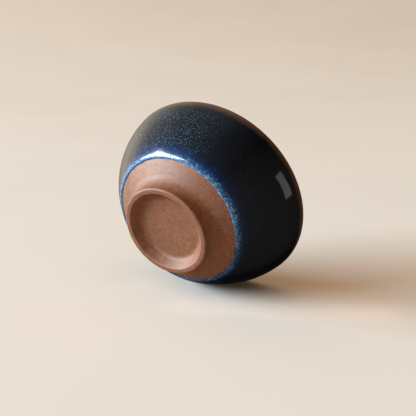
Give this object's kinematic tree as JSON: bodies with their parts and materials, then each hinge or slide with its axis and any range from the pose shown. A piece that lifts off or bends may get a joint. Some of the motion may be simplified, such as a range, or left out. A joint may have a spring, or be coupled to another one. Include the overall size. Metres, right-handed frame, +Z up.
{
  "type": "tea bowl",
  "caption": "Wide, squat stoneware tea bowl with a bare turned foot ring, a round belly and a dark glossy glaze that ends in a pale blue roll above the foot.",
  "frame": {"origin": "centre of the foot ring's face, the surface the bowl stands on", "axes": "+Z up along the bowl's axis, out of the mouth; X and Y are level and alike, because the bowl is turned"},
  "size_m": [0.1, 0.1, 0.0435],
  "materials": {
    "stoneware": "matt, fine-grained, turned",
    "blue_glaze": "glossy, breaking pale blue",
    "dark_glaze": "glossy, blue-black with fine pale specks",
    "brown_glaze": "glossy, thin, breaking brown"
  },
  "bodies": {
    "root": {"stoneware_body": "stoneware", "glaze_roll": "blue_glaze", "outer_glaze": "dark_glaze", "lip_glaze": "brown_glaze", "inner_glaze": "dark_glaze"}
  },
  "joints": []
}
